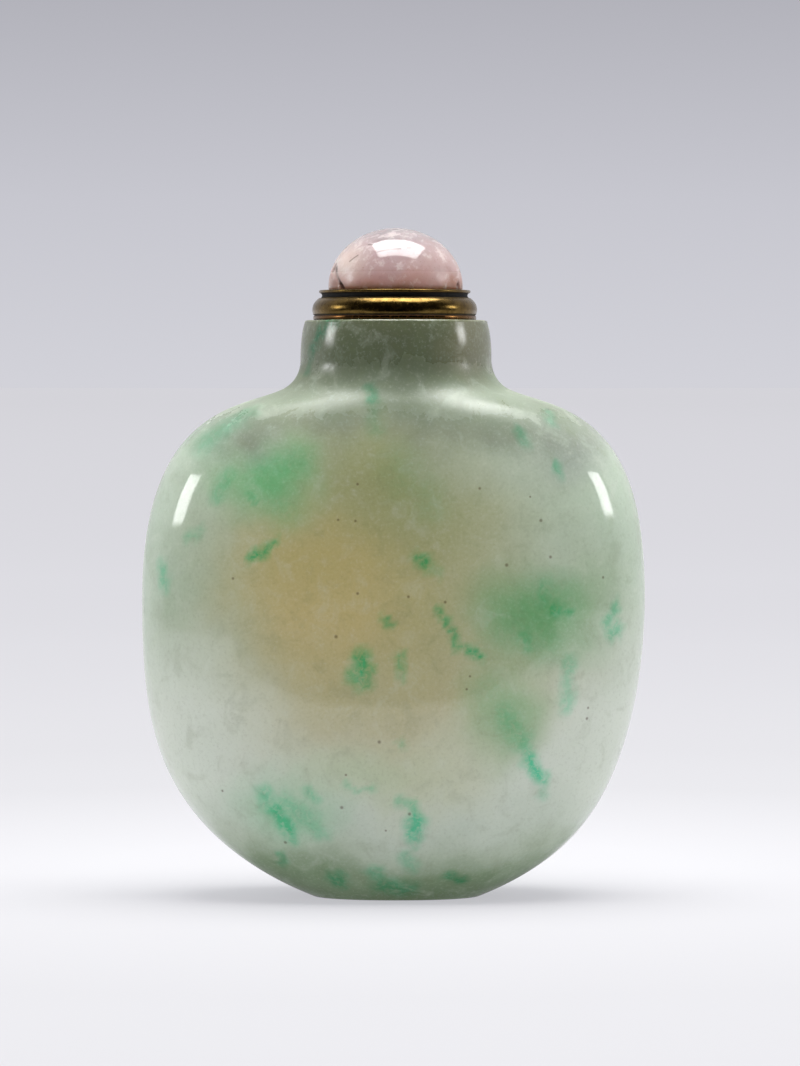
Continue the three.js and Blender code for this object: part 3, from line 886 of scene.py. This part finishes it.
# How light the floor looks, in display values, by distance from a point just behind the bottle.
# The distances are set out by their logarithm, softened close to that point.
FLOOR_GLOW = [(30, 183), (100, 168), (160, 172), (400, 193), (700, 199), (9000, 192)]
FLOOR_MIDDLE = (0, 25, 0)
NEAR_SOFTENING = 20
DECADES = 4

# The lit table that the polished stone mirrors: its front edge bows away to both sides.
TABLE_FRONT = 105
TABLE_SPREAD = 420
TABLE_MIDDLE = (60, 0, 0)
TABLE_REACH = 350
TABLE_END = 430


def make_floor():
    """The floor: it glows as a lit sweep does, and mirrors in the stone as a table of its own size, with a
    painted shadow round the bottle's foot.
    """
    bm = bmesh.new()
    bmesh.ops.create_circle(bm, cap_ends=True, segments=96, radius=30)
    mesh = bpy.data.meshes.new("floor")
    bm.to_mesh(mesh)
    bm.free()
    material = bpy.data.materials.new("floor")
    material.use_nodes = True
    tree = Tree(material.node_tree)
    material.node_tree.nodes.clear()
    place = tree.millimetres()
    reach = tree.vector("LENGTH", tree.vector("SUBTRACT", place, FLOOR_MIDDLE))
    reach = tree.math("LOGARITHM", tree.math("ADD", reach, float(NEAR_SOFTENING)), 10.0)
    glow = ramp(tree, tree.math("DIVIDE", reach, float(DECADES)), [
        (math.log10(distance + NEAR_SOFTENING) / DECADES, srgb(level, level - 1, level + 5))
        for distance, level in FLOOR_GLOW])
    light_path = tree.node("ShaderNodeLightPath")
    seen = tree.node("ShaderNodeEmission", {"Color": glow, "Strength": 1.0})
    lit = tree.node("ShaderNodeBsdfDiffuse", {"Color": (0.25, 0.25, 0.25, 1)})
    shown = tree.node("ShaderNodeAddShader")
    tree.put(shown.inputs[0], seen.outputs[0])
    tree.put(shown.inputs[1], lit.outputs[0])
    separate = tree.node("ShaderNodeSeparateXYZ", {"Vector": place})
    across, depth = separate.outputs["X"], separate.outputs["Y"]
    bow = tree.math("DIVIDE", tree.math("MULTIPLY", across, across), TABLE_SPREAD)
    edge = tree.math("ADD", tree.math("ADD", depth, bow), float(TABLE_FRONT))
    table = tree.smooth(edge, -4.0, 4.0)
    apart = tree.vector("LENGTH", tree.vector("SUBTRACT", place, TABLE_MIDDLE))
    in_front = tree.smooth(depth, 140.0, 20.0)
    beyond = tree.math("MULTIPLY", tree.smooth(apart, TABLE_REACH, TABLE_END), in_front)
    table = tree.math("MULTIPLY", table, tree.math("SUBTRACT", 1.0, beyond))
    # Painted shadow: the mirrored table is darker close round the bottle's foot.
    under = tree.vector("LENGTH", tree.vector("DIVIDE", place, (15, 9, 1)))
    table = tree.math("MULTIPLY", table, tree.smooth(under, 0.8, 2.2, 0.35, 1.0))
    mirrored = tree.node("ShaderNodeEmission", {"Color": srgb(232, 232, 237), "Strength": table})
    mix = tree.node("ShaderNodeMixShader", {0: light_path.outputs["Is Glossy Ray"]})
    tree.put(mix.inputs[1], shown.outputs[0])
    tree.put(mix.inputs[2], mirrored.outputs[0])
    output = tree.node("ShaderNodeOutputMaterial")
    tree.put(output.inputs["Surface"], mix.outputs[0])
    mesh.materials.append(material)
    floor = bpy.data.objects.new("floor", mesh)
    bpy.context.scene.collection.objects.link(floor)


def make_world():
    """The backdrop, the soft fill from behind and what the polished surfaces mirror."""
    world = bpy.data.worlds.new("studio")
    world.use_nodes = True
    bpy.context.scene.world = world
    tree = Tree(world.node_tree)
    world.node_tree.nodes.clear()
    direction = tree.node("ShaderNodeTexCoord").outputs["Generated"]
    separate = tree.node("ShaderNodeSeparateXYZ", {"Vector": direction})
    up = tree.node("ShaderNodeMapRange", {"Value": separate.outputs["Z"], "From Min": 0.0, "From Max": 0.1})
    backdrop = ramp(tree, up.outputs[0], [
        (0.0, srgb(210, 210, 217)), (0.38, srgb(199, 199, 207)), (1.0, srgb(168, 168, 176))])
    behind = tree.smooth(separate.outputs["Y"], -0.1, 0.25, 0.012, 0.62)
    around = tree.smooth(separate.outputs["Y"], -0.8, 0.2, 0.25, 0.7)
    light_path = tree.node("ShaderNodeLightPath")
    fill = tree.node("ShaderNodeBackground", {"Color": (0.97, 0.98, 1.0, 1), "Strength": around})
    mirrored = tree.node("ShaderNodeBackground", {"Color": (0.97, 0.97, 1.0, 1), "Strength": behind})
    seen = tree.node("ShaderNodeBackground", {"Color": backdrop, "Strength": 1.0})
    first = tree.node("ShaderNodeMixShader", {0: light_path.outputs["Is Glossy Ray"]})
    tree.put(first.inputs[1], fill.outputs[0])
    tree.put(first.inputs[2], mirrored.outputs[0])
    second = tree.node("ShaderNodeMixShader", {0: light_path.outputs["Is Camera Ray"]})
    tree.put(second.inputs[1], first.outputs[0])
    tree.put(second.inputs[2], seen.outputs[0])
    tree.put(tree.node("ShaderNodeOutputWorld").inputs["Surface"], second.outputs[0])


bpy.context.scene.view_settings.view_transform = "Standard"
make_camera()
make_floor()
make_world()
make_softbox("softbox_left", -88, 16, 400, 90, 100, 7)
make_softbox("softbox_right", 88, 16, 400, 80, 95, 7)
above = make_softbox("softbox_above", 0, 89.9, 350, 330, 255, 9)
above.location.x += 25 * MM

make_bottle(jadeite_material())
make_collar(brass_material())
make_stone(pink_stone_material())
